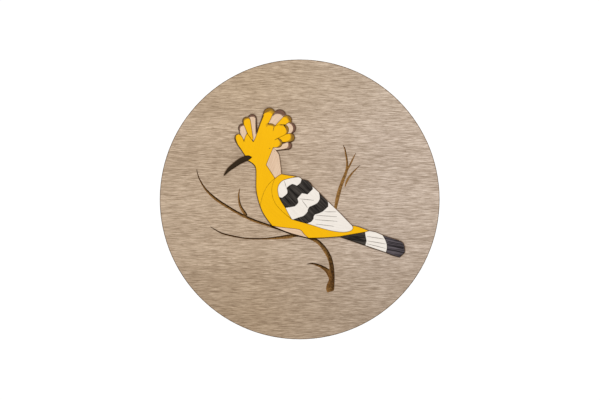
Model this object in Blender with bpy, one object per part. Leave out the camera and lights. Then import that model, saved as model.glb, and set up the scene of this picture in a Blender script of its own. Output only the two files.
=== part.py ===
"""Round oak wall plaque: a hoopoe of fitted wooden pieces, perched on a branch engraved in the board.

Metres, +Z up. The plaque is upright as it hangs: the picture faces -Y, the back of the board lies on
the plane y = 0, and the origin is the middle of the back.
"""
import math

import bmesh
import bpy
from mathutils import Vector
from mathutils.geometry import interpolate_bezier

# Board
BOARD_DIAMETER = 0.300
BOARD_THICKNESS = 0.010
BOARD_EDGE_ROUND = 0.0008
BOARD_SIDES = 120

# Keyhole slot in the back, for the head of a wall screw
KEYHOLE_BELOW_RIM = 0.038
KEYHOLE_ENTRY_DIAMETER = 0.0100
KEYHOLE_SLOT_WIDTH = 0.0052
KEYHOLE_TRAVEL = 0.0120
KEYHOLE_LIP = 0.0028
KEYHOLE_DEPTH = 0.0066
KEYHOLE_STEP = 0.0001
KEYHOLE_SIDES = 24

# Bird pieces, sawn from thin sheet and glued to the board
PIECE_THICKNESS = 0.002
GLUE_GAP = 0.0003
KERF = 0.0003
LINE_WIDTH = 0.0007
LINE_DEPTH = 0.0005
TIP_BURN_DEPTH = 0.0004
SIDE_BURN_STEP = 0.0001

# Branch, engraved in the board's front; thin twigs are a little shallower than the limb they leave
LOW_BRANCH_DEPTH = 0.0030
RIGHT_LIMB_DEPTH = 0.0020
TWIG_STEP = 0.0001

# The picture is drawn on squares, 300 to the board's width, counted from its centre
SQUARES_ACROSS = 300
SQUARE = BOARD_DIAMETER / SQUARES_ACROSS
CURVE_TURN = 9.0
ARC_TURN = 18.0
SAME_POINT = 0.01
CUTTER_REACH = 0.002

BOARD_FRONT = -BOARD_THICKNESS
PIECE_BACK = BOARD_FRONT - GLUE_GAP
PIECE_FRONT = PIECE_BACK - PIECE_THICKNESS

# Colours, roughness
OAK = ((0.46, 0.34, 0.25), 0.62)
YELLOW = ((0.90, 0.48, 0.01), 0.50)
PINK = ((0.72, 0.53, 0.41), 0.60)
WHITE = ((0.90, 0.83, 0.75), 0.50)
BLACK = ((0.030, 0.022, 0.020), 0.55)


def smooth(*knots):
    """Points of a smooth curve through the knots; two knots alone give a straight stroke."""
    knots = [Vector(knot) for knot in knots]
    if len(knots) == 2:
        return knots
    tangents = []
    for i in range(len(knots)):
        before = knots[max(i - 1, 0)]
        after = knots[min(i + 1, len(knots) - 1)]
        tangents.append((after - before).normalized())
    points = []
    for start, end, leave, arrive in zip(knots, knots[1:], tangents, tangents[1:]):
        reach = (end - start).length / 3
        steps = max(2, round(math.degrees(leave.angle(arrive)) / CURVE_TURN))
        span = interpolate_bezier(start, start + leave * reach, end - arrive * reach, end, steps + 1)
        points += span[:-1]
    return points + [knots[-1]]


def towards(heading):
    """The unit step along a heading in degrees, counted from +X towards +Z."""
    return Vector((math.cos(math.radians(heading)), math.sin(math.radians(heading))))


def arc(centre, radius, start, end):
    """Points of an arc, from a start angle to an end angle in degrees."""
    steps = max(2, round(abs(end - start) / ARC_TURN))
    turns = [start + (end - start) * i / steps for i in range(steps + 1)]
    return [Vector(centre) + radius * towards(turn) for turn in turns]


def circle(centre, radius, sides):
    """Points all round a circle."""
    return [Vector(centre) + radius * towards(360 * i / sides) for i in range(sides)]


def chain(*strokes):
    """Strokes laid end to end, with each shared end kept once."""
    points = []
    for stroke in strokes:
        for point in stroke:
            point = Vector(point)
            if not points or (point - points[-1]).length > SAME_POINT:
                points.append(point)
    return points


def outline(*strokes):
    """A closed outline from strokes laid end to end."""
    points = chain(*strokes)
    if (points[0] - points[-1]).length <= SAME_POINT:
        points.pop()
    return points


def stretch(stroke, start, end):
    """The stretch of a stroke between two of its knots, in the order asked for."""
    places = [min(range(len(stroke)), key=lambda i: (stroke[i] - Vector(knot)).length) for knot in (start, end)]
    first, last = sorted(places)
    piece = stroke[first:last + 1]
    return piece if places[0] <= places[1] else piece[::-1]


def paddle(root, root_radius, tip, tip_radius):
    """Outline of a feather: a small circle at its root, a wide one at its tip, and the edges between."""
    axis = Vector(tip) - Vector(root)
    heading = math.degrees(math.atan2(axis.y, axis.x))
    side = 90 + math.degrees(math.asin((tip_radius - root_radius) / axis.length))
    return outline(arc(tip, tip_radius, heading - side, heading + side),
                   arc(root, root_radius, heading + side, heading + 360 - side))


def crescent(centre, radius, heading, width, spread):
    """Outline of the burnt tip of a round lobe; it runs past the lobe's edge, and thins to both sides."""
    inner = Vector(centre) - width * towards(heading)
    outer_radius = radius + CUTTER_REACH / SQUARE / 2
    return outline(arc(centre, outer_radius, heading - spread[0], heading + spread[1]),
                   arc(inner, radius, heading + spread[1], heading - spread[0]))


def ribbon(*knots):
    """Outline of a stroke of changing width, through knots of x, z and width."""
    path = smooth(*knots)
    left = []
    right = []
    for i, point in enumerate(path):
        along = (path[min(i + 1, len(path) - 1)] - path[max(i - 1, 0)]).to_2d().normalized()
        aside = Vector((-along.y, along.x)) * point.z / 2
        left.append(point.to_2d() + aside)
        right.append(point.to_2d() - aside)
    return left + right[::-1]


def grown(points, distance):
    """The outline moved outwards by a distance in metres, or inwards where it is negative."""
    turn = sum(a.x * b.y - b.x * a.y for a, b in zip(points, points[1:] + points[:1]))
    if turn < 0:
        points = points[::-1]
    moved = []
    for before, point, after in zip(points[-1:] + points[:-1], points, points[1:] + points[:1]):
        ahead = (after - point).normalized()
        behind = (point - before).normalized()
        outward = Vector((ahead.y + behind.y, -ahead.x - behind.x)) / (1 + ahead.dot(behind))
        moved.append(point + outward * distance / SQUARE)
    return moved


def prism(name, points, back, front):
    """A closed body of the outline's shape, from y = back to y = front."""
    bm = bmesh.new()
    face = bm.faces.new([bm.verts.new((point.x * SQUARE, back, point.y * SQUARE)) for point in points])
    extruded = bmesh.ops.extrude_face_region(bm, geom=[face])
    moved = [part for part in extruded["geom"] if isinstance(part, bmesh.types.BMVert)]
    bmesh.ops.translate(bm, vec=(0, front - back, 0), verts=moved)
    bmesh.ops.recalc_face_normals(bm, faces=bm.faces)
    mesh = bpy.data.meshes.new(name)
    bm.to_mesh(mesh)
    bm.free()
    body = bpy.data.objects.new(name, mesh)
    bpy.context.collection.objects.link(body)
    return body


def cut(body, cutter):
    """Takes the cutter's shape out of the body."""
    cutter.hide_render = True
    cutter.display_type = "WIRE"
    modifier = body.modifiers.new(cutter.name, "BOOLEAN")
    modifier.operation = "DIFFERENCE"
    modifier.solver = "EXACT"
    modifier.object = cutter


def finish(body, look):
    """Gives the body a material of its own, and shades its round walls smooth."""
    colour, roughness = look
    material = bpy.data.materials.new(body.name)
    material.use_nodes = True
    shader = material.node_tree.nodes["Principled BSDF"]
    shader.inputs["Base Color"].default_value = (*colour, 1)
    shader.inputs["Roughness"].default_value = roughness
    shader.inputs["Metallic"].default_value = 0
    body.data.materials.append(material)
    body.data.shade_smooth()
    body.data.set_sharp_from_angle(angle=math.radians(30))


def engrave(body, name, points, surface, depth):
    """Sinks the outline's shape into a surface at y = surface, whose outside is towards -Y."""
    cut(body, prism(name, points, surface + depth, surface - CUTTER_REACH))


def bird_piece(name, points, look, in_front=(), lines=(), burnt_tips=(), burnt_sides=()):
    """One sheet piece: its outline less half a kerf, and less every piece that lies over its edge."""
    body = prism(name, grown(points, -KERF / 2), PIECE_BACK, PIECE_FRONT)
    for i, cover in enumerate(in_front):
        cutter = prism(f"{name}_cover_{i}", grown(cover, KERF / 2),
                       PIECE_BACK + CUTTER_REACH, PIECE_FRONT - CUTTER_REACH)
        cut(body, cutter)
    for i, (start, end) in enumerate(lines):
        half_way = ((start[0] + end[0]) / 2, (start[1] + end[1]) / 2)
        width = LINE_WIDTH / SQUARE
        stroke = ribbon((*start, width / 2), (*half_way, width), (*end, width / 2))
        engrave(body, f"{name}_line_{i}", stroke, PIECE_FRONT, LINE_DEPTH)
    for i, knots in enumerate(burnt_sides):
        engrave(body, f"{name}_side_{i}", ribbon(*knots), PIECE_FRONT, TIP_BURN_DEPTH - SIDE_BURN_STEP)
    for i, tip in enumerate(burnt_tips):
        engrave(body, f"{name}_tip_{i}", crescent(*tip), PIECE_FRONT, TIP_BURN_DEPTH)
    finish(body, look)


# Corners where three edges of the bird meet, in squares
FOREHEAD = (-58.2, 46.6)
BEAK_ROOT = (-51.3, 45.2)
CHIN = (-55.6, 41.9)
NAPE_TOP = (-28.4, 55.4)
NAPE_BEND = (-35.9, 37.0)
NAPE_FOOT = (-26.4, 22.5)
BACK_TOP = (-19.5, 27.1)
CHEST_SIDE = (-42.3, -7.2)
THIGH_FRONT = (-29.4, -28.3)
THIGH_TOP = (2.4, -34.0)
THIGH_BACK = (9.5, -41.4)
TAIL_POINT = (42.8, -39.7)
TAIL_ROOT_TOP = (69.8, -35.0)
TAIL_ROOT_BEND = (71.4, -44.3)
TAIL_ROOT_FOOT = (70.0, -49.2)
RUMP_TIP = (74.5, -33.7)
TAIL_BAND_TOP = (88.9, -38.4)
TAIL_BAND_FOOT = (92.5, -56.8)
WING_HEEL = (-8.5, -21.3)
MIDDLE_BAR_HEEL = (-7.0, -21.8)
LOWER_BAR_HEEL = (7.0, -25.7)
UPPER_BAR_FRONT = (-22.0, 2.3)
MIDDLE_BAR_FRONT = (-15.4, -8.9)
WING_TOP = (-1.8, 24.0)
SHOULDER_BACK = (2.2, 21.7)
UPPER_BAR_BACK = (13.3, 14.5)
MIDDLE_BAR_BACK = (20.8, 7.4)
LOWER_BAR_BACK = (29.6, -1.5)
WING_TIP = (56.2, -28.2)

# Round lobes of the front crest: centre, radius, heading of the tip, width of its burn, and its spread
TALL_LOBE = ((-32.5, 91.9), 6.2, 75, 5.2, (95, 100))
TOP_LOBE = ((-31.4, 74.9), 6.4, 82, 2.4, (40, 50))
BACK_LOBE = ((-17.4, 74.6), 5.7, 25, 3.0, (80, 82))
LOW_LOBE = ((-23.3, 60.4), 4.9, 0, 3.0, (80, 75))

# Burnt strips along an edge: x, z and width at each knot
BURNT_BROW = [(-66.4, 58.8, 0.8), (-69.3, 64.6, 2.2), (-68.8, 69.0, 2.4), (-65.6, 70.2, 1.2)]
BURNT_TALL_SIDE = [(-45.6, 71.0, 1.0), (-43.9, 77.5, 1.6), (-41.2, 85.2, 2.0), (-39.0, 90.2, 1.6)]
BURNT_THIRD_SIDE = [(-46.0, 88.0, 2.8), (-45.6, 78.0, 3.4), (-45.3, 69.6, 3.6)]
BURNT_LAST_SIDE = [(-26.4, 52.2, 1.0), (-20.0, 52.9, 1.6), (-12.6, 53.6, 2.0)]

# Edges that two neighbours share, in squares
BEAK_OVER = smooth(FOREHEAD, (-54.5, 46.8), BEAK_ROOT)
BEAK_UNDER = smooth(BEAK_ROOT, (-53.2, 43.2), CHIN)
COLLAR = smooth(NAPE_FOOT, (-30.4, 19.2), (-35.6, 12.9), (-38.6, 7.0), (-40.8, 0.0), CHEST_SIDE)
MANTLE_EDGE = smooth(NAPE_FOOT, (-29.4, 14.5), (-29.6, 5.5), (-26.0, -4.6), (-17.5, -13.9), WING_HEEL)
THIGH_EDGE = smooth(THIGH_FRONT, (-21.3, -29.7), (-9.0, -31.0), (-0.5, -32.2), THIGH_TOP)
THIGH_REAR = smooth(THIGH_TOP, (4.9, -37.4), THIGH_BACK)
NAPE_SHOULDER = smooth(NAPE_FOOT, (-22.3, 25.6), BACK_TOP)
WING_FRONT = smooth(WING_HEEL, (-12.0, -15.5), MIDDLE_BAR_FRONT, (-19.1, -3.4), UPPER_BAR_FRONT,
                    (-23.5, 9.0), (-22.7, 14.8), (-19.0, 19.6), (-13.5, 21.9), (-7.5, 23.2), WING_TOP)
WING_BELLY = smooth(WING_HEEL, MIDDLE_BAR_HEEL, LOWER_BAR_HEEL, (16.0, -28.5), (26.4, -31.8),
                    (38.0, -34.4), (47.4, -35.2), (54.4, -33.8), (57.1, -30.8), WING_TIP)
SHOULDER_EDGE = chain(smooth(UPPER_BAR_FRONT, (-18.6, 1.7), (-13.1, 6.2)),
                      smooth((-13.1, 6.2), (-12.9, 9.0), (-13.9, 12.2)),
                      smooth((-13.9, 12.2), (-11.0, 14.6), (-8.0, 16.3)),
                      smooth((-8.0, 16.3), (-5.4, 15.5), (-3.0, 14.4)),
                      smooth((-3.0, 14.4), (0.9, 17.5), SHOULDER_BACK))
UPPER_BAR_EDGE = chain(smooth(MIDDLE_BAR_FRONT, (-10.0, -8.1), (-5.3, -7.2)),
                       smooth((-5.3, -7.2), (-1.8, -3.4), (-2.7, 1.0)),
                       smooth((-2.7, 1.0), (0.0, 4.2), (2.4, 6.8)),
                       smooth((2.4, 6.8), (5.4, 6.3), (8.3, 5.6)),
                       smooth((8.3, 5.6), (13.9, 11.2)),
                       smooth((13.9, 11.2), UPPER_BAR_BACK))
MIDDLE_BAR_EDGE = chain(smooth(MIDDLE_BAR_HEEL, (-0.9, -19.5), (3.4, -18.3), (6.6, -15.8), (8.7, -13.2)),
                        smooth((8.7, -13.2), (9.1, -10.6), (10.8, -8.0)),
                        smooth((10.8, -8.0), (14.6, -6.4), (19.0, -4.0), (21.8, 1.2), MIDDLE_BAR_BACK))
LOWER_BAR_EDGE = chain(smooth(LOWER_BAR_HEEL, (11.9, -24.0), (14.6, -20.8)),
                       smooth((14.6, -20.8), (14.8, -18.2), (16.2, -16.1)),
                       smooth((16.2, -16.1), (20.2, -14.8), (24.6, -12.9)),
                       smooth((24.6, -12.9), (30.2, -7.6)),
                       smooth((30.2, -7.6), (30.3, -4.4), LOWER_BAR_BACK))
TAIL_ROOT_EDGE = chain(smooth(TAIL_ROOT_TOP, (70.4, -39.8), TAIL_ROOT_BEND), [TAIL_ROOT_FOOT])
TAIL_BAND_EDGE = smooth(TAIL_BAND_TOP, (91.6, -43.0), (93.4, -48.4), (93.5, -52.5), TAIL_BAND_FOOT)

# Outlines that also cut what lies behind them
HEAD_OUTLINE = outline(
    smooth(FOREHEAD, (-63.4, 54.5), (-68.6, 62.3), (-69.2, 67.6), (-65.6, 70.0), (-61.9, 67.2), (-59.6, 62.4)),
    smooth((-59.6, 62.4), (-58.3, 67.0), (-56.4, 70.8)),
    smooth((-56.4, 70.8), (-53.2, 66.3), (-49.7, 61.7)),
    smooth((-49.7, 61.7), (-47.7, 65.2), (-46.3, 69.2)),
    smooth((-46.3, 69.2), (-44.2, 76.5), (-41.4, 84.5)),
    arc(TALL_LOBE[0], TALL_LOBE[1], 176, 16),
    smooth((-29.3, 90.0), (-30.8, 86.6), (-33.2, 82.0)),
    arc(TOP_LOBE[0], TOP_LOBE[1], 108, 34),
    smooth((-25.4, 78.7), (-21.5, 80.2)),
    arc(BACK_LOBE[0], BACK_LOBE[1], 90, -65),
    smooth((-19.5, 67.2), (-23.6, 65.2)),
    arc(LOW_LOBE[0], LOW_LOBE[1], 85, -95),
    [NAPE_TOP, NAPE_BEND, NAPE_FOOT],
    COLLAR,
    smooth(CHEST_SIDE, (-44.3, -0.8), (-46.5, 9.5), (-46.7, 20.0), (-46.6, 30.0), (-47.7, 35.6),
           (-51.2, 39.2), CHIN),
    BEAK_UNDER[::-1],
    BEAK_OVER[::-1],
)
NAPE_OUTLINE = outline(
    [NAPE_FOOT, NAPE_BEND, NAPE_TOP],
    smooth((-25.3, 52.5), (-22.1, 48.0), (-21.0, 41.0), (-20.1, 34.0), BACK_TOP),
    NAPE_SHOULDER[::-1],
)

# Back feathers of the crest, front to back of the head: root, root radius, tip, tip radius, colour,
# heading of the burn, its width, the feathers that lie over this one, and its burnt side edges
CREST_FEATHERS = {
    "crest_feather_1": ((-58.6, 65.0), 3.2, (-61.5, 76.7), 4.0, PINK, 130, 2.4, ["crest_feather_2"], []),
    "crest_feather_2": ((-51.7, 65.0), 1.8, (-56.9, 84.1), 4.2, YELLOW, 122, 2.6, [], []),
    "crest_feather_3": ((-48.1, 65.0), 3.0, (-50.8, 86.7), 4.5, PINK, 86, 2.8, ["crest_feather_2"],
                        [BURNT_THIRD_SIDE]),
    "crest_feather_4": ((-29.0, 81.0), 5.0, (-21.3, 89.8), 6.5, PINK, 66, 5.2, ["crest_feather_5"], []),
    "crest_feather_5": ((-23.5, 77.5), 3.0, (-13.6, 84.9), 5.2, YELLOW, 30, 4.2, ["crest_feather_6"], []),
    "crest_feather_6": ((-16.5, 73.5), 4.0, (-10.0, 76.5), 5.9, PINK, 12, 3.0, ["crest_feather_7"], []),
    "crest_feather_7": ((-20.0, 64.8), 3.6, (-9.9, 66.2), 4.6, YELLOW, -10, 4.6, [], []),
    "crest_feather_8": ((-27.0, 54.0), 1.7, (-12.3, 57.6), 4.0, PINK, -12, 4.0, ["crest_feather_7"],
                        [BURNT_LAST_SIDE]),
}
FEATHER_BURN_SPREAD = (80, 80)

# Limbs and twigs of the branch: x, z and width at each knot
LOW_BRANCH = [
    [(-110.4, 32.2, 0.6), (-108.1, 23.2, 1.2), (-100.7, 10.7, 2.1), (-90.1, 0.6, 3.2), (-75.6, -9.0, 3.0),
     (-59.8, -17.9, 3.0), (-46.7, -23.5, 3.0), (-30.0, -29.0, 2.7), (-19.5, -32.9, 2.0), (-9.0, -36.9, 1.8),
     (1.0, -39.2, 2.4), (10.0, -41.0, 3.4), (18.0, -44.3, 4.3), (23.5, -49.2, 4.4), (27.1, -53.7, 4.8),
     (31.8, -61.9, 4.8), (34.2, -71.2, 4.8), (34.5, -80.0, 5.8), (34.3, -87.0, 6.5), (33.2, -92.0, 8.3),
     (32.7, -96.2, 8.8), (33.3, -98.8, 6.8)],
    [(-64.0, 11.9, 0.6), (-65.3, 6.0, 1.5), (-65.1, 0.0, 2.1), (-63.4, -7.5, 2.8), (-59.0, -14.6, 3.6),
     (-57.0, -17.8, 3.0)],
    [(-95.9, -29.2, 0.5), (-89.0, -33.4, 1.1), (-83.3, -36.3, 1.5), (-76.0, -38.4, 1.6), (-67.6, -40.1, 1.5),
     (-60.0, -41.5, 1.4), (-50.0, -42.2, 1.6), (-36.0, -42.0, 1.8), (-28.0, -41.5, 2.6), (-20.0, -40.8, 3.5),
     (-12.0, -39.8, 4.2), (-4.0, -38.8, 2.6), (2.0, -39.4, 1.4)],
    [(8.0, -69.3, 0.6), (13.6, -68.8, 1.8), (19.6, -70.5, 2.7), (25.2, -73.2, 3.7), (30.0, -76.9, 5.0),
     (33.4, -83.0, 5.4)],
]
RIGHT_LIMB = [
    [(37.2, -13.0, 3.0), (38.8, -7.0, 3.3), (40.2, 0.0, 4.0), (43.3, 12.0, 3.8), (47.1, 22.4, 3.3),
     (50.3, 31.0, 2.8), (50.9, 40.0, 2.1), (49.6, 48.0, 1.9), (48.5, 54.0, 1.4), (46.8, 58.0, 0.7)],
    [(50.9, 31.6, 1.9), (53.2, 35.6, 1.9), (56.5, 42.4, 1.6), (60.1, 49.7, 0.6)],
    [(48.6, 13.4, 0.8), (49.8, 17.5, 1.8), (51.8, 22.0, 2.3), (56.5, 28.5, 1.8), (64.6, 36.5, 0.6)],
]


def make_board():
    """The round board, with its branch engraved in front and its keyhole behind."""
    board = prism("board", circle((0, 0), SQUARES_ACROSS / 2, BOARD_SIDES), 0, BOARD_FRONT)
    round_edge = board.modifiers.new("rounded rim", "BEVEL")
    round_edge.width = BOARD_EDGE_ROUND
    round_edge.segments = 2
    round_edge.limit_method = "ANGLE"
    round_edge.angle_limit = math.radians(60)
    for name, strokes, depth in (("branch_low", LOW_BRANCH, LOW_BRANCH_DEPTH),
                                 ("branch_right", RIGHT_LIMB, RIGHT_LIMB_DEPTH)):
        for i, knots in enumerate(strokes):
            engrave(board, f"{name}_{i}", ribbon(*knots), BOARD_FRONT, depth - i * TWIG_STEP)
    cut_keyhole(board)
    finish(board, OAK)


def cut_keyhole(board):
    """A round entry for the screw's head, a narrow slot above it, and a wider groove behind the slot.

    The three cuts overlap by a small step, so that no two of their faces lie in one plane.
    """
    low = (0, (BOARD_DIAMETER / 2 - KEYHOLE_BELOW_RIM) / SQUARE)
    high = (0, low[1] + KEYHOLE_TRAVEL / SQUARE)
    entry_radius = KEYHOLE_ENTRY_DIAMETER / 2 / SQUARE
    slot_radius = KEYHOLE_SLOT_WIDTH / 2 / SQUARE
    cut(board, prism("keyhole_entry", circle(low, entry_radius, KEYHOLE_SIDES), CUTTER_REACH, -KEYHOLE_DEPTH))
    cut(board, prism("keyhole_slot", paddle(low, slot_radius, high, slot_radius),
                     CUTTER_REACH, -KEYHOLE_LIP - KEYHOLE_STEP))
    cut(board, prism("keyhole_groove", paddle(low, entry_radius - KEYHOLE_STEP / SQUARE, high, entry_radius),
                     -KEYHOLE_LIP, -KEYHOLE_DEPTH + KEYHOLE_STEP))


def make_head():
    """Beak, face with its front crest, and the nape behind it."""
    bird_piece("beak", outline(
        smooth((-81.5, 25.2), (-77.8, 32.4), (-71.3, 38.7), (-64.0, 44.1), FOREHEAD),
        BEAK_OVER,
        BEAK_UNDER,
        smooth(CHIN, (-62.0, 39.1), (-69.7, 34.3), (-75.5, 30.4), (-79.4, 26.9), (-81.5, 25.2)),
    ), BLACK)
    bird_piece("head_and_neck", HEAD_OUTLINE, YELLOW,
               lines=[((-27.2, 78.8), (-28.4, 73.2)), ((-22.6, 65.6), (-26.8, 63.6)),
                      ((-32.9, 54.6), (-31.3, 54.8))],
               burnt_tips=[TALL_LOBE, TOP_LOBE, BACK_LOBE, LOW_LOBE],
               burnt_sides=[BURNT_BROW, BURNT_TALL_SIDE])
    bird_piece("nape", NAPE_OUTLINE, PINK)


def make_crest():
    """The back feathers, each cut where the head, the nape or a nearer feather lies over it."""
    shapes = {name: paddle(*row[:4]) for name, row in CREST_FEATHERS.items()}
    for name, (_, _, tip, radius, colour, heading, width, over, sides) in CREST_FEATHERS.items():
        covers = [HEAD_OUTLINE, NAPE_OUTLINE] + [shapes[other] for other in over]
        bird_piece(name, shapes[name], colour, in_front=covers, burnt_sides=sides,
                   burnt_tips=[(tip, radius, heading, width, FEATHER_BURN_SPREAD)])


def make_body():
    """Breast and rump in one piece, the mantle round the wing, and the thigh."""
    bird_piece("breast_and_rump", outline(
        COLLAR,
        smooth(CHEST_SIDE, (-40.2, -12.6), (-35.4, -20.6), THIGH_FRONT),
        THIGH_EDGE,
        THIGH_REAR,
        smooth(THIGH_BACK, (20.0, -41.2), (31.0, -40.7), TAIL_POINT),
        [TAIL_ROOT_TOP],
        smooth(RUMP_TIP, (66.0, -30.4), (60.5, -28.7), WING_TIP),
        WING_BELLY[::-1],
        MANTLE_EDGE[::-1],
    ), YELLOW)
    bird_piece("mantle", outline(
        MANTLE_EDGE,
        WING_FRONT,
        smooth(WING_TOP, (-8.0, 25.2), (-14.0, 26.1), BACK_TOP),
        NAPE_SHOULDER[::-1],
    ), YELLOW)
    bird_piece("thigh", outline(
        THIGH_EDGE,
        THIGH_REAR,
        smooth(THIGH_BACK, (0.0, -38.9), (-9.0, -36.4), (-19.2, -32.7), THIGH_FRONT),
    ), PINK)


def make_wing():
    """Three white and two black rows of wing feathers."""
    bird_piece("wing_shoulder_white", outline(
        stretch(WING_FRONT, UPPER_BAR_FRONT, WING_TOP),
        smooth(WING_TOP, (0.8, 23.2), SHOULDER_BACK),
        SHOULDER_EDGE[::-1],
    ), WHITE, lines=[((-16.4, 19.6), (-14.4, 13.2))])
    bird_piece("wing_upper_bar_black", outline(
        SHOULDER_EDGE,
        smooth(SHOULDER_BACK, (8.3, 20.2), (11.8, 17.2), UPPER_BAR_BACK),
        UPPER_BAR_EDGE[::-1],
        stretch(WING_FRONT, MIDDLE_BAR_FRONT, UPPER_BAR_FRONT),
    ), BLACK)
    bird_piece("wing_middle_bar_white", outline(
        UPPER_BAR_EDGE,
        MIDDLE_BAR_EDGE[::-1],
        stretch(WING_BELLY, MIDDLE_BAR_HEEL, WING_HEEL),
        stretch(WING_FRONT, WING_HEEL, MIDDLE_BAR_FRONT),
    ), WHITE, lines=[((0.0, 0.6), (15.1, -1.0)), ((2.5, -0.9), (8.4, -8.9))])
    bird_piece("wing_lower_bar_black", outline(
        MIDDLE_BAR_EDGE,
        LOWER_BAR_EDGE[::-1],
        stretch(WING_BELLY, LOWER_BAR_HEEL, MIDDLE_BAR_HEEL),
    ), BLACK)
    bird_piece("wing_primaries_white", outline(
        LOWER_BAR_EDGE,
        smooth(LOWER_BAR_BACK, (43.0, -14.3), WING_TIP),
        stretch(WING_BELLY, WING_TIP, LOWER_BAR_HEEL),
    ), WHITE, lines=[((26.4, -13.2), (39.0, -13.4)), ((18.0, -17.1), (40.0, -18.5)),
                     ((16.6, -21.7), (40.5, -23.5)), ((17.2, -26.4), (37.0, -28.8))])


def make_tail():
    """Black root, white band and black end."""
    bird_piece("tail_root_black", outline(
        [TAIL_POINT],
        TAIL_ROOT_EDGE,
    ), BLACK, lines=[((52.0, -40.0), (69.2, -40.9)), ((52.0, -41.2), (69.8, -45.6))])
    bird_piece("tail_band_white", outline(
        TAIL_ROOT_EDGE[::-1],
        smooth(RUMP_TIP, (81.5, -35.0), TAIL_BAND_TOP),
        TAIL_BAND_EDGE,
    ), WHITE, lines=[((72.4, -39.6), (90.4, -42.5)), ((72.8, -44.5), (92.2, -47.8)),
                     ((72.0, -47.5), (92.0, -52.5))])
    bird_piece("tail_end_black", outline(
        TAIL_BAND_EDGE[::-1],
        smooth((91.0, -39.1), (100.3, -42.0), (108.5, -44.9), (111.5, -47.8), (112.5, -51.8), (112.8, -56.5)),
        smooth((107.3, -61.8), (100.3, -59.9), TAIL_BAND_FOOT),
    ), BLACK, lines=[((94.6, -45.0), (110.0, -47.9)), ((95.3, -49.5), (111.0, -52.2)),
                     ((95.0, -53.7), (110.1, -57.1))])


for old in list(bpy.data.objects):
    bpy.data.objects.remove(old)
make_board()
make_head()
make_crest()
make_body()
make_wing()
make_tail()
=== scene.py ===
"""Round oak wall plaque with a hoopoe of fitted wooden pieces, dressed for its picture.

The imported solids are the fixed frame, in metres, +Z up, with the picture facing -Y. The board and each
sheet piece of the bird are copies of their solids with the loose triangles joined. The sheets get eased
front edges, and all of them are scorched where the laser cut or engraved them.
"""
import math

import bmesh
import bpy
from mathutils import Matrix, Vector
from mathutils.kdtree import KDTree


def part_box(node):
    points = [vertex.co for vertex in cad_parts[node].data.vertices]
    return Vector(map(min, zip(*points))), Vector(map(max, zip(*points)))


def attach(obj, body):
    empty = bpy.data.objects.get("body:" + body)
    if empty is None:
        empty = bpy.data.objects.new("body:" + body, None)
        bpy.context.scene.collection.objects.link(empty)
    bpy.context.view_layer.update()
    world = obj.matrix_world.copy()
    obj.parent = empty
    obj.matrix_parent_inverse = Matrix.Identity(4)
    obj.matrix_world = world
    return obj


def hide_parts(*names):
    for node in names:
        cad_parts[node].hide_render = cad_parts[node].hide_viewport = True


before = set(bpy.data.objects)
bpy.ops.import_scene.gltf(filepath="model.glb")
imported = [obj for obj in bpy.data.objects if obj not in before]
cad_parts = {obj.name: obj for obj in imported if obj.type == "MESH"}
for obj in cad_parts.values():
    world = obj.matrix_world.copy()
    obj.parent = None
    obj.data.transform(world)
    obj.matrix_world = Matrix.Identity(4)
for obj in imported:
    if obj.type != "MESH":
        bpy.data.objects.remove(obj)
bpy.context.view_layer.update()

# Levels of the solids, front to back
PIECE_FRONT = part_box("nape")[0].y
PIECE_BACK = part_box("nape")[1].y
BOARD_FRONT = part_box("board")[0].y
BOARD_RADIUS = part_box("board")[1].x

# Working limits for picking faces and points out of a mesh
SAME_POINT = 0.000001
SAME_LEVEL = 0.00002
FLAT = math.radians(0.5)
SMOOTH_UNDER = math.radians(35)
FACING_ROOM = -0.99
FACING_WALL = 0.5
UPRIGHT = 0.01
UPPER_RIGHT = Vector((0.7, 0.0, 0.7))

# Eased front edges of the sheets, and the shortest edge left for them
SHORTEST_EDGE = 0.00012
EASED_EDGE = 0.00050
EASED_STEPS = 3

# The depth that each kind of cut stays within
SIDE_BURN_AND_SHADE_DEEPEST = 0.00035
TIP_BURN_DEEPEST = 0.00045
LINE_DEEPEST = 0.00055
BRANCH_DEEPEST = 0.0032
RIGHT_LIMB_DEEPEST = 0.0021

# Scorch of the sheets: 0 is clean and 1 is char
# The strip down a feather's side is char and also painted shade of the gap beside it
SIDE_CHAR_AND_SHADE = 1.0
TIP_SCORCH = 0.66
TIP_INNER_SCORCH = 0.30
BARE_TIP_INNER_SCORCH = 0.45
LINE_SCORCH = 0.80
PALE_LINE_SCORCH = 0.50
PAINTED_SEAM = 0.06
FITTED_SEAM = 0.45
SEAM_REACH = 0.0009

# Scorch of the board: the branch, its banks on the upper right, darker partly from a heavier burn and
# partly as painted shadow of the banks, and the rim, which goes past char
BRANCH_LEAST_SCORCH = 0.60
RIGHT_LIMB_SCORCH = 0.74
BANK_GAIN = 1.5
BRANCH_WITHIN = 0.96
RIM_BURN_WIDTH = 0.0003
RIM_SCORCH = 1.8

# Grain of the wood: length and width of its streaks, their sway, and the shape of its bands and pores
FINE_STREAK = {"Length": 0.0108, "Width": 0.00033}
BROAD_STREAK = {"Length": 0.045, "Width": 0.0020}
SHEET_STREAK = {"Length": 0.020, "Width": 0.0009}
GRAIN_SWAY = 0.0007
SWAY_SCALE = 9.0
BAND_SCALE = 0.06
PORE_SHAPE = (2.6, 1.0, 0.9)

# Keeps both faces of the board away from the even spots of the noise
GRAIN_SHIFT = 0.00085

# The parts of the noise that are stretched over 0 to 1
MIDDLE_OF_NOISE = (0.30, 0.70)
BAND_RANGE = (0.32, 0.68)
PORE_RANGE = (0.60, 0.72)
BLOTCH_RANGE = (0.36, 0.64)

# Shares of the streaks and bands in the oak's tone, and how dark its pores are
FINE_SHARE = 0.80
BROAD_SHARE = 0.10
BAND_SHARE = 0.10
PORE_SHARE = 0.50
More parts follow.
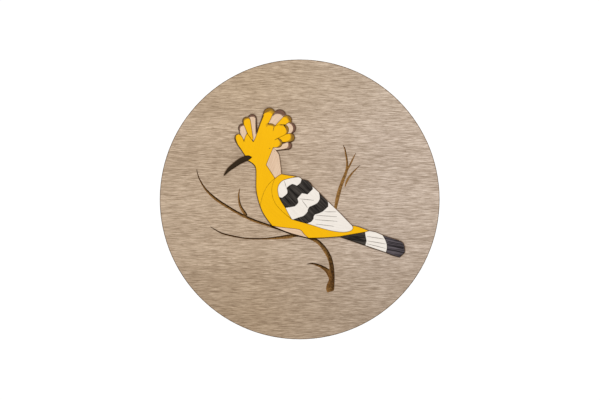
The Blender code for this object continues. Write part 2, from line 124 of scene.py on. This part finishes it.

# Soot: its specks and how far it shifts the burn's edge. Then the painted shade beside the bird, and the
# char with painted shade in the branch's corners: how far each reaches, and how open a corner is where it
# starts and ends
SOOT_SCALE = 900.0
MIDDLE_SOOT = 0.5
HALF_BURNT_GAIN = 4.0
OAK_SOOT_SHIFT = 0.30
SHEET_SOOT_SHIFT = 0.32
SHEET_SOOT_RANGE = (0.15, 0.85)
CONTACT_SHADE_REACH = 0.0015
CONTACT_SHADE_OPENNESS = (0.66, 0.99)
# Reach and openness of the char with painted shade in the branch's corners
BRANCH_CHAR_SHADE_REACH = 0.0016
BRANCH_CHAR_SHADE_OPENNESS = (0.12, 0.72)
SOOT_SAMPLES = 8

# The burn at which wood or paint turns brown, and brown turns to char
WOOD_BROWNS = (0.30, 0.45)
PAINT_BROWNS = (0.08, TIP_SCORCH)
BROWN_CHARS = (0.78, 0.98)

# Tone of the branch's floor: its blotches, and how much paler it is away from the banks
BLOTCH_SCALE = 560.0
BLOTCH_TONE = 0.42
FLOOR_TONE = 0.58

# Relief of the surfaces, in metres
OAK_RELIEF = 0.00010
BARE_RELIEF = 0.00005
PAINT_RELIEF = 0.00003
OAK_RELIEF_STRENGTH = 0.7
SHEET_RELIEF_STRENGTH = 0.6
SOOT_RELIEF_SHARE = 0.5

# Roughness and gloss
OAK_ROUGHNESS = 0.70
BARE_ROUGHNESS = 0.65
PAINT_ROUGHNESS = 0.52
BARE_GLOSS = 0.10
PAINT_GLOSS = 0.06

# Sheet pieces: the wood or paint, and the way the grain runs, in degrees from +X towards +Z
SHEETS = {
    "beak": ("black_beak", 35),
    "head_and_neck": ("yellow", 78),
    "nape": ("pinkish", 70),
    "crest_feather_1": ("pinkish", 100),
    "crest_feather_2": ("yellow", 104),
    "crest_feather_3": ("pinkish", 95),
    "crest_feather_4": ("pinkish", 50),
    "crest_feather_5": ("yellow", 36),
    "crest_feather_6": ("pinkish", 25),
    "crest_feather_7": ("yellow", 8),
    "crest_feather_8": ("pinkish", 14),
    "breast_and_rump": ("yellow", -40),
    "mantle": ("yellow", 80),
    "thigh": ("pinkish", -12),
    "wing_shoulder_white": ("white", -45),
    "wing_upper_bar_black": ("black", -45),
    "wing_middle_bar_white": ("white", -45),
    "wing_lower_bar_black": ("black", -45),
    "wing_primaries_white": ("white", -10),
    "tail_root_black": ("black", -12),
    "tail_band_white": ("white", -10),
    "tail_end_black": ("black_tail", -10),
}

# Colours of the oak, and of the branch burnt into it
PLAIN = (1.0, 1.0, 1.0)
OAK_DARK = (0.297, 0.219, 0.158)
OAK_MID = (0.517, 0.403, 0.315)
OAK_LIGHT = (0.752, 0.623, 0.518)
OAK_LOW_TINT = (0.82, 0.79, 0.74)
OAK_TOP_TINT = (0.92, 0.91, 0.87)
OAK_LEFT_TINT = (0.97, 0.92, 0.82)
OAK_PORE = (0.250, 0.168, 0.108)
# Painted shade laid on the oak where the bird's pieces stand close
OAK_CONTACT_SHADE = (0.115, 0.056, 0.022)
# Char with painted shade, laid in the corners of the engraved branch
CORNER_CHAR_AND_SHADE = (0.350, 0.150, 0.020)
FLOOR_DARK = (0.056, 0.025, 0.004)
FLOOR_MID = (0.175, 0.085, 0.020)
FLOOR_LIGHT = (0.370, 0.188, 0.050)
TRUNK_TINT = (0.66, 0.58, 0.50)

# The same colours at stops of the tone
OAK_TONES = ((0.18, OAK_DARK), (0.50, OAK_MID), (0.82, OAK_LIGHT))
FLOOR_TONES = ((0.08, FLOOR_DARK), (0.50, FLOOR_MID), (0.92, FLOOR_LIGHT))

# Tints at stops of the height and of the width, from the board's foot and its left, 0, to 1: the oak is
# darker towards its foot, a little darker towards its top, and warmer and darker on its left
TINTS_BY_HEIGHT = ((0.10, OAK_LOW_TINT), (0.32, PLAIN), (0.72, PLAIN), (0.90, OAK_TOP_TINT))
TINTS_BY_WIDTH = ((0.35, OAK_LEFT_TINT), (0.80, PLAIN))
TRUNK_BY_HEIGHT = ((0.170, PLAIN), (0.195, TRUNK_TINT), (0.235, TRUNK_TINT), (0.29, PLAIN))

# Paints and bare wood: clean and streaked colour, the burnt tip, the scorched edge and the char
PAINTS = {
    "yellow": {"clean": (0.915, 0.485, 0.001), "streak": (0.855, 0.435, 0.001),
               "tip": (0.280, 0.158, 0.026), "edge": (0.190, 0.085, 0.010), "char": (0.090, 0.038, 0.007)},
    "pinkish": {"clean": (0.785, 0.570, 0.400), "streak": (0.650, 0.440, 0.290),
                "tip": (0.200, 0.095, 0.060), "edge": (0.085, 0.034, 0.022), "char": (0.030, 0.014, 0.010)},
    "white": {"clean": (0.885, 0.822, 0.750), "streak": (0.790, 0.728, 0.655),
              "tip": (0.300, 0.265, 0.230), "edge": (0.180, 0.148, 0.120), "char": (0.070, 0.055, 0.044)},
    "black": {"clean": (0.008, 0.006, 0.005), "streak": (0.066, 0.056, 0.048),
              "tip": (0.010, 0.008, 0.008), "edge": (0.008, 0.006, 0.006), "char": (0.005, 0.004, 0.004)},
    "black_tail": {"clean": (0.016, 0.012, 0.014), "streak": (0.125, 0.106, 0.118),
                   "tip": (0.010, 0.008, 0.008), "edge": (0.008, 0.006, 0.006),
                   "char": (0.005, 0.004, 0.004)},
    "black_beak": {"clean": (0.026, 0.015, 0.006), "streak": (0.048, 0.026, 0.009),
                   "tip": (0.010, 0.006, 0.003), "edge": (0.008, 0.005, 0.002),
                   "char": (0.005, 0.003, 0.002)},
}

# How much of the streaked colour shows at most, and the streaks over which it comes in
STREAKS_SHOW = (0.2, 0.9)
STREAKED = {
    "black_beak": 0.45,
    "black": 1.0,
    "black_tail": 1.0,
    "yellow": 0.45,
    "pinkish": 0.75,
    "white": 0.60,
}


# Node trees
def put(tree, kind, inputs=(), **settings):
    """Adds a node, sets its options, and fills its sockets with values or with other nodes' outputs."""
    made = tree.nodes.new(kind)
    for name, value in settings.items():
        setattr(made, name, value)
    for socket, value in dict(inputs).items():
        if isinstance(value, bpy.types.NodeSocket):
            tree.links.new(value, made.inputs[socket])
        else:
            made.inputs[socket].default_value = value
    return made


def work_out(tree, operation, *values):
    """One step of arithmetic."""
    return put(tree, "ShaderNodeMath", enumerate(values), operation=operation).outputs[0]


def spread(tree, value, low, high, to_low=0.0, to_high=1.0):
    """Stretches the part of a value between two limits over a new range."""
    return put(tree, "ShaderNodeMapRange", {"Value": value, "From Min": low, "From Max": high,
                                            "To Min": to_low, "To Max": to_high}).outputs["Result"]


def ramp(tree, factor, stops):
    """Colours at stops of a factor."""
    made = put(tree, "ShaderNodeValToRGB", {"Fac": factor})
    elements = made.color_ramp.elements
    elements.remove(elements[1])
    elements[0].position = stops[0][0]
    elements[0].color = (*stops[0][1], 1)
    for place, colour in stops[1:]:
        elements.new(place).color = (*colour, 1)
    return made.outputs["Color"]


def blend(tree, factor, first, second, how="MIX"):
    """Mixes two colours."""
    made = put(tree, "ShaderNodeMix", data_type="RGBA", blend_type=how)
    for socket, value in (("Factor_Float", factor), ("A_Color", first), ("B_Color", second)):
        target = next(entry for entry in made.inputs if entry.identifier == socket)
        if isinstance(value, bpy.types.NodeSocket):
            tree.links.new(value, target)
        else:
            target.default_value = value if socket == "Factor_Float" else (*value, 1)
    return next(entry for entry in made.outputs if entry.identifier == "Result_Color")


def noise(tree, vector, scale, detail, roughness=0.5):
    """Cloudy noise, 0 to 1."""
    return put(tree, "ShaderNodeTexNoise", {"Vector": vector, "Scale": scale, "Detail": detail,
                                            "Roughness": roughness}).outputs["Fac"]


def openness(tree, reach, only_local):
    """How open the air is in front of the surface: 1 in the open, and less within reach of a corner."""
    return put(tree, "ShaderNodeAmbientOcclusion", {"Distance": reach}, samples=SOOT_SAMPLES,
               only_local=only_local).outputs["AO"]


def effect(name, inputs, outputs):
    """Starts a shared effect with number sockets; returns its tree, its inputs and its output node."""
    tree = bpy.data.node_groups.new(name, "ShaderNodeTree")
    for socket, value in inputs.items():
        made = tree.interface.new_socket(socket, in_out="INPUT", socket_type="NodeSocketFloat")
        made.default_value = value
    for socket in outputs:
        tree.interface.new_socket(socket, in_out="OUTPUT", socket_type="NodeSocketFloat")
    return tree, tree.nodes.new("NodeGroupInput").outputs, tree.nodes.new("NodeGroupOutput")


def finish_effect(tree, end, results):
    """Joins the effect's results to its outputs."""
    for socket, value in results.items():
        tree.links.new(value, end.inputs[socket])
    return tree


def wood_grain():
    """Grain along one way: fine streaks, broad bands and short dark pores, each 0 to 1."""
    tree, given, end = effect("wood grain", {"Turn": 0.0, **SHEET_STREAK}, ["Streaks", "Bands", "Pores"])
    place = put(tree, "ShaderNodeTexCoord").outputs["Object"]
    turned = put(tree, "ShaderNodeVectorRotate", {"Vector": place, "Angle": given["Turn"]},
                 rotation_type="Y_AXIS").outputs["Vector"]
    bends = noise(tree, turned, scale=SWAY_SCALE, detail=1.0)
    sway = spread(tree, bends, *MIDDLE_OF_NOISE, -GRAIN_SWAY, GRAIN_SWAY)
    parts = put(tree, "ShaderNodeSeparateXYZ", {"Vector": turned}).outputs
    swayed = work_out(tree, "ADD", parts["Z"], sway)
    shifted = work_out(tree, "ADD", parts["Y"], GRAIN_SHIFT)
    along = work_out(tree, "DIVIDE", parts["X"], given["Length"])
    across = work_out(tree, "DIVIDE", swayed, given["Width"])
    through = work_out(tree, "DIVIDE", shifted, given["Width"])
    grain = put(tree, "ShaderNodeCombineXYZ", {"X": along, "Y": through, "Z": across}).outputs["Vector"]
    streaks = spread(tree, noise(tree, grain, scale=1.0, detail=2.0, roughness=0.55), *MIDDLE_OF_NOISE)
    bands = spread(tree, noise(tree, grain, scale=BAND_SCALE, detail=3.0, roughness=0.55), *BAND_RANGE)
    dashes = put(tree, "ShaderNodeVectorMath", {0: grain, 1: PORE_SHAPE}, operation="MULTIPLY")
    pores = spread(tree, noise(tree, dashes.outputs["Vector"], scale=1.0, detail=1.0), *PORE_RANGE)
    return finish_effect(tree, end, {"Streaks": streaks, "Bands": bands, "Pores": pores})


def laser_burn():
    """How far the laser burnt the surface, 0 to 1, from the piece's scorch values broken up by soot."""
    tree, given, end = effect("laser burn", {"Soot": SHEET_SOOT_SHIFT}, ["Burn", "Soot"])
    place = put(tree, "ShaderNodeTexCoord").outputs["Object"]
    scorch = put(tree, "ShaderNodeAttribute", attribute_name="scorch").outputs["Fac"]
    specks = noise(tree, place, scale=SOOT_SCALE, detail=3.0, roughness=0.65)
    soot = spread(tree, specks, *MIDDLE_OF_NOISE)
    shift = work_out(tree, "MULTIPLY", work_out(tree, "SUBTRACT", soot, MIDDLE_SOOT), given["Soot"])
    half_burnt = work_out(tree, "MULTIPLY", scorch, work_out(tree, "SUBTRACT", 1.0, scorch))
    most_shifted = work_out(tree, "MULTIPLY", half_burnt, HALF_BURNT_GAIN)
    burn = work_out(tree, "MULTIPLY_ADD", shift, most_shifted, scorch)
    return finish_effect(tree, end, {"Burn": burn, "Soot": soot})


GRAIN = wood_grain()
BURN = laser_burn()


def new_material(name):
    """An empty material; returns it, its tree and its shader."""
    material = bpy.data.materials.new(name)
    material.use_nodes = True
    return material, material.node_tree, material.node_tree.nodes["Principled BSDF"]


def use(tree, shared, **values):
    """Places a shared effect with its own values."""
    made = put(tree, "ShaderNodeGroup", node_tree=shared)
    for socket, value in values.items():
        made.inputs[socket].default_value = value
    return made.outputs


def surface(tree, shader, colour, roughness, gloss):
    """Gives the shader its colour, roughness and gloss."""
    tree.links.new(colour, shader.inputs["Base Color"])
    shader.inputs["Roughness"].default_value = roughness
    shader.inputs["Specular IOR Level"].default_value = gloss


def relief(tree, shader, height, distance, strength):
    """Raises and sinks the surface by a height, in metres."""
    bump = put(tree, "ShaderNodeBump", {"Height": height, "Distance": distance, "Strength": strength})
    tree.links.new(bump.outputs["Normal"], shader.inputs["Normal"])


def oak_tone(tree, fine, broad):
    """Light and dark of the oak, 0 to 1."""
    tone = work_out(tree, "MULTIPLY", broad["Streaks"], BROAD_SHARE)
    tone = work_out(tree, "MULTIPLY_ADD", fine["Streaks"], FINE_SHARE, tone)
    return work_out(tree, "MULTIPLY_ADD", broad["Bands"], BAND_SHARE, tone)


def oak_face(tree, tone, pores, rise, across):
    """Colour of the oak's own surface, with pores, broad tints, and painted shade beside the bird."""
    wood = ramp(tree, tone, OAK_TONES)
    wood = blend(tree, work_out(tree, "MULTIPLY", pores, PORE_SHARE), wood, OAK_PORE)
    # Darker towards the foot and the top, and warmer and darker on the left
    wood = blend(tree, 1.0, wood, ramp(tree, rise, TINTS_BY_HEIGHT), "MULTIPLY")
    wood = blend(tree, 1.0, wood, ramp(tree, across, TINTS_BY_WIDTH), "MULTIPLY")
    # Painted shade: the oak darkens where the bird's pieces crowd the air in front of it
    open_air = openness(tree, CONTACT_SHADE_REACH, False)
    return blend(tree, spread(tree, open_air, *CONTACT_SHADE_OPENNESS, 1.0, 0.0), wood, OAK_CONTACT_SHADE)


def branch_floor(tree, place, burn, rise):
    """Colour of the engraved branch: blotchy brown, darker down the trunk, and char with painted shade in
    its corners.
    """
    spots = noise(tree, place, scale=BLOTCH_SCALE, detail=2.0, roughness=0.6)
    blotch = spread(tree, spots, *BLOTCH_RANGE, 0.0, BLOTCH_TONE)
    # The floor is paler away from the banks; the dark upper-right banks are partly burn and partly painted
    # shadow
    pale = spread(tree, burn, BRANCH_LEAST_SCORCH, 1.0, FLOOR_TONE, 0.0)
    floor = ramp(tree, work_out(tree, "ADD", pale, blotch), FLOOR_TONES)
    floor = blend(tree, 1.0, floor, ramp(tree, rise, TRUNK_BY_HEIGHT), "MULTIPLY")
    # Char with painted shade: the floor darkens where its walls crowd the air in front of it
    open_air = openness(tree, BRANCH_CHAR_SHADE_REACH, True)
    return blend(tree, spread(tree, open_air, *BRANCH_CHAR_SHADE_OPENNESS), CORNER_CHAR_AND_SHADE, floor)


def oak_board():
    """Weathered oak with horizontal grain; its engraved branch is burnt brown."""
    material, tree, shader = new_material("weathered oak")
    fine = use(tree, GRAIN, **FINE_STREAK)
    broad = use(tree, GRAIN, **BROAD_STREAK)
    burn = use(tree, BURN, Soot=OAK_SOOT_SHIFT)
    place = put(tree, "ShaderNodeTexCoord").outputs["Object"]
    parts = put(tree, "ShaderNodeSeparateXYZ", {"Vector": place}).outputs
    rise = spread(tree, parts["Z"], -BOARD_RADIUS, BOARD_RADIUS)
    across = spread(tree, parts["X"], -BOARD_RADIUS, BOARD_RADIUS)
    tone = oak_tone(tree, fine, broad)
    wood = oak_face(tree, tone, fine["Pores"], rise, across)
    floor = branch_floor(tree, place, burn["Burn"], rise)
    colour = blend(tree, spread(tree, burn["Burn"], *WOOD_BROWNS), wood, floor)
    surface(tree, shader, colour, OAK_ROUGHNESS, BARE_GLOSS)
    height = work_out(tree, "SUBTRACT", tone, fine["Pores"])
    height = work_out(tree, "MULTIPLY_ADD", burn["Soot"], SOOT_RELIEF_SHARE, height)
    relief(tree, shader, height, OAK_RELIEF, OAK_RELIEF_STRENGTH)
    return material


def sheet_finish(node, kind, turn):
    """Paint or bare wood on one sheet piece, burnt along its sawn edges, its tips and engraved lines."""
    colours = PAINTS[kind]
    material, tree, shader = new_material(f"{kind} on {node}")
    grain = use(tree, GRAIN, Turn=math.radians(turn), **SHEET_STREAK)
    streaked = spread(tree, grain["Streaks"], *STREAKS_SHOW, 0.0, STREAKED[kind])
    clean = blend(tree, streaked, colours["clean"], colours["streak"])
    burn = use(tree, BURN, Soot=SHEET_SOOT_SHIFT)
    sooty = blend(tree, spread(tree, burn["Soot"], *SHEET_SOOT_RANGE), colours["edge"], colours["tip"])
    browned = blend(tree, spread(tree, burn["Burn"], *PAINT_BROWNS), clean, sooty)
    colour = blend(tree, spread(tree, burn["Burn"], *BROWN_CHARS), browned, colours["char"])
    height = work_out(tree, "SUBTRACT", grain["Streaks"], grain["Pores"])
    if kind == "pinkish":
        surface(tree, shader, colour, BARE_ROUGHNESS, BARE_GLOSS)
        relief(tree, shader, height, BARE_RELIEF, SHEET_RELIEF_STRENGTH)
    else:
        surface(tree, shader, colour, PAINT_ROUGHNESS, PAINT_GLOSS)
        relief(tree, shader, height, PAINT_RELIEF, SHEET_RELIEF_STRENGTH)
    return material


# Shaping
def select_only(piece):
    """Selects one piece and makes it active."""
    bpy.ops.object.select_all(action="DESELECT")
    piece.select_set(True)
    bpy.context.view_layer.objects.active = piece


def open_copy(node, name, shortest_edge=SAME_POINT):
    """A copy of a solid with its loose triangles joined into whole faces, left open in edit mode."""
    piece = bpy.data.objects.new(name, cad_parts[node].data.copy())
    piece.data.name = name
    piece.data.materials.clear()
    bpy.context.scene.collection.objects.link(piece)
    select_only(piece)
    bpy.ops.object.mode_set(mode="EDIT")
    bpy.ops.mesh.select_mode(type="FACE")
    bpy.ops.mesh.select_all(action="SELECT")
    bpy.ops.mesh.remove_doubles(threshold=SAME_POINT)
    bpy.ops.mesh.dissolve_limited(angle_limit=FLAT)
    bpy.ops.mesh.dissolve_degenerate(threshold=shortest_edge)
    bpy.ops.mesh.select_all(action="DESELECT")
    return piece


def faces_room(face):
    """Whether a face looks straight out of the picture."""
    return face.normal.y < FACING_ROOM


def is_wall(face):
    """Whether a face stands upright on the picture, as a sawn or engraved wall does."""
    return abs(face.normal.y) < UPRIGHT


def reaches_back(face):
    """Whether a face reaches the back of the sheet."""
    return any(vert.co.y > PIECE_BACK - SAME_LEVEL for vert in face.verts)


def is_sawn_rim(edge):
    """Whether an edge lies between the front and a wall that goes right through the sheet."""
    fronts = [face for face in edge.link_faces if faces_room(face)]
    walls = [face for face in edge.link_faces if reaches_back(face)]
    return len(fronts) == 1 and len(walls) == 1 and not faces_room(walls[0])


def by_a_seam(point, finder):
    """Whether one of the finder's pieces lies close by."""
    near = finder.find(point)[2]
    return near is not None and near < SEAM_REACH


def ease_edges(piece, finder):
    """Rounds the sawn front edges, but not where a piece with the same paint lies against them."""
    bpy.ops.mesh.select_mode(type="EDGE")
    mesh = bmesh.from_edit_mesh(piece.data)
    for edge in mesh.edges:
        on_a_seam = all(by_a_seam(vert.co, finder) for vert in edge.verts)
        edge.select_set(is_sawn_rim(edge) and not on_a_seam)
    bmesh.update_edit_mesh(piece.data)
    bpy.ops.mesh.bevel(offset=EASED_EDGE, segments=EASED_STEPS, affect="EDGES", clamp_overlap=False)
    bpy.ops.mesh.select_all(action="DESELECT")
    bpy.ops.object.mode_set(mode="OBJECT")


def step_points(piece):
    """The points of the low walls that lead down from the front into a burnt tip or an engraved line."""
    found = set()
    for face in piece.data.polygons:
        depths = [piece.data.vertices[i].co.y - PIECE_FRONT for i in face.vertices]
        if is_wall(face) and min(depths) < SAME_LEVEL and max(depths) < LINE_DEEPEST:
            found.update(face.vertices)
    return found


def write_scorch(piece, scorch_at):
    """Writes how far each face is scorched at each of its corners."""
    scorch = piece.data.attributes.new("scorch", "FLOAT", "CORNER")
    for face in piece.data.polygons:
        for corner in face.loop_indices:
            vert = piece.data.vertices[piece.data.loops[corner].vertex_index]
            scorch.data[corner].value = scorch_at(face, vert)


def close_piece(piece, node, material):
    """Ends the shaping: smooth shading with flat faces kept flat, material, and place in the frame."""
    bpy.ops.object.shade_smooth_by_angle(angle=SMOOTH_UNDER)
    bpy.ops.object.modifier_add(type="WEIGHTED_NORMAL")
    piece.modifiers[-1].keep_sharp = True
    bpy.ops.object.modifier_apply(modifier=piece.modifiers[-1].name)
    piece.data.materials.append(material)
    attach(piece, "root")
    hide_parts(node)


def finder_of(nodes):
    """A finder for the points of some pieces."""
    points = [vert.co.copy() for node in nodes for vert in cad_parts[node].data.vertices]
    finder = KDTree(len(points))
    for i, point in enumerate(points):
        finder.insert(point, i)
    finder.balance()
    return finder


def sheet_piece(node, kind, turn):
    """One sheet of the bird: eased front edges, burnt sides and tips, and engraved lines."""
    piece = open_copy(node, f"{node}_sheet", SHORTEST_EDGE)
    others = [other for other in SHEETS if other != node]
    fitted = finder_of(others)
    painted = finder_of([other for other in others if SHEETS[other][0] == kind])
    ease_edges(piece, painted)
    steps = step_points(piece)
    line_scorch = PALE_LINE_SCORCH if kind == "white" else LINE_SCORCH
    inner_scorch = BARE_TIP_INNER_SCORCH if kind == "pinkish" else TIP_INNER_SCORCH

    def scorch_at(face, vert):
        sunk = face.center.y - PIECE_FRONT
        if faces_room(face):
            if sunk < SAME_LEVEL:
                return 0.0
            # The side strip: char that is also painted shade of the gap beside it
            if sunk < SIDE_BURN_AND_SHADE_DEEPEST:
                return SIDE_CHAR_AND_SHADE
            if sunk < TIP_BURN_DEEPEST:
                return inner_scorch if vert.index in steps else TIP_SCORCH
            return line_scorch
        if is_wall(face) and sunk < LINE_DEEPEST:
            return line_scorch if sunk > TIP_BURN_DEEPEST / 2 else inner_scorch
        rim = min(1.0, (vert.co.y - PIECE_FRONT) / EASED_EDGE)
        if by_a_seam(vert.co, painted):
            return PAINTED_SEAM * rim
        return FITTED_SEAM * rim if by_a_seam(vert.co, fitted) else rim

    write_scorch(piece, scorch_at)
    close_piece(piece, node, sheet_finish(node, kind, turn))


def bank_slopes(piece):
    """How squarely the walls at each point stand on the upper right of their cut."""
    slopes = {}
    for face in piece.data.polygons:
        if is_wall(face):
            for i in face.vertices:
                slopes[i] = max(slopes.get(i, 0.0), -face.normal.dot(UPPER_RIGHT))
    return slopes


def board_piece():
    """The round board, its rim burnt, and its engraved branch darkest along the banks on the upper right,
    partly from a heavier burn and partly as painted shadow.
    """
    piece = open_copy("board", "oak_board")
    bpy.ops.object.mode_set(mode="OBJECT")
    banks = bank_slopes(piece)

    def scorch_at(face, vert):
        sunk = face.center.y - BOARD_FRONT
        engraved = SAME_LEVEL < sunk < BRANCH_DEEPEST and face.normal.y < FACING_WALL
        out = math.hypot(vert.co.x, vert.co.z)
        if out > BOARD_RADIUS - RIM_BURN_WIDTH:
            return RIM_SCORCH
        if not engraved or out > BOARD_RADIUS * BRANCH_WITHIN:
            return 0.0
        most = RIGHT_LIMB_SCORCH if vert.co.y < BOARD_FRONT + RIGHT_LIMB_DEEPEST else 1.0
        # Banks on the upper right are darker: partly a heavier burn, partly painted shadow of the banks
        bank = min(1.0, BANK_GAIN * banks.get(vert.index, 0.0))
        return BRANCH_LEAST_SCORCH + (most - BRANCH_LEAST_SCORCH) * bank

    write_scorch(piece, scorch_at)
    close_piece(piece, "board", oak_board())


# The studio
CAMERA_AWAY = 2.0
CAMERA_ASIDE = 0.00036
CAMERA_BELOW = 0.00064
PIXELS_WIDE = 600
DISC_PIXELS = 279.9
SKY_LIGHT = 0.24
SKY_SEEN = 1.05
FLOOR_BELOW = 0.75
FLOOR_RADIUS = 1.6
FLOOR_SIDES = 96
FLOOR_PALE = (0.85, 0.85, 0.84, 1)
FLOOR_ROUGHNESS = 0.8


def make_camera():
    """Straight in front of the plaque, with the board as wide in the frame as in the photograph."""
    data = bpy.data.cameras.new("camera")
    seen_width = PIXELS_WIDE / DISC_PIXELS * 2 * BOARD_RADIUS
    data.lens = data.sensor_width * (CAMERA_AWAY + BOARD_FRONT) / seen_width
    camera = bpy.data.objects.new("camera", data)
    camera.location = (CAMERA_ASIDE, -CAMERA_AWAY, -CAMERA_BELOW)
    camera.rotation_euler = (math.pi / 2, 0, 0)
    bpy.context.scene.collection.objects.link(camera)
    bpy.context.scene.camera = camera


def make_lamp(name, place, size, watts):
    """A soft square lamp, turned to the middle of the plaque."""
    bpy.ops.object.light_add(type="AREA", location=place)
    lamp = bpy.context.object
    lamp.name = name
    lamp.data.size = size
    lamp.data.energy = watts
    lamp.rotation_euler = lamp.location.to_track_quat("Z", "Y").to_euler()


def make_sky():
    """White all round, brighter to the camera than it shines."""
    world = bpy.data.worlds.new("white studio")
    bpy.context.scene.world = world
    world.use_nodes = True
    sky = world.node_tree.nodes["Background"]
    seen = put(world.node_tree, "ShaderNodeLightPath").outputs["Is Camera Ray"]
    strength = spread(world.node_tree, seen, 0.0, 1.0, SKY_LIGHT, SKY_SEEN)
    world.node_tree.links.new(strength, sky.inputs["Strength"])
    sky.inputs["Color"].default_value = (1, 1, 1, 1)


def make_floor():
    """A pale round floor well below the plaque."""
    bpy.ops.object.select_all(action="DESELECT")
    bpy.ops.mesh.primitive_circle_add(vertices=FLOOR_SIDES, radius=FLOOR_RADIUS, fill_type="NGON",
                                      location=(0, 0, -FLOOR_BELOW))
    floor = bpy.context.object
    floor.name = "studio_floor"
    material, _, shader = new_material("pale floor")
    shader.inputs["Base Color"].default_value = FLOOR_PALE
    shader.inputs["Roughness"].default_value = FLOOR_ROUGHNESS
    floor.data.materials.append(material)


board_piece()
for sheet, (finish, heading) in SHEETS.items():
    sheet_piece(sheet, finish, heading)
make_camera()
make_sky()
make_lamp("key lamp", place=(0.22, -1.42, 0.64), size=0.36, watts=18.7)
make_lamp("back lamp", place=(-0.9, 1.8, 0.9), size=1.00, watts=30)
make_floor()
bpy.context.scene.view_settings.view_transform = "Standard"
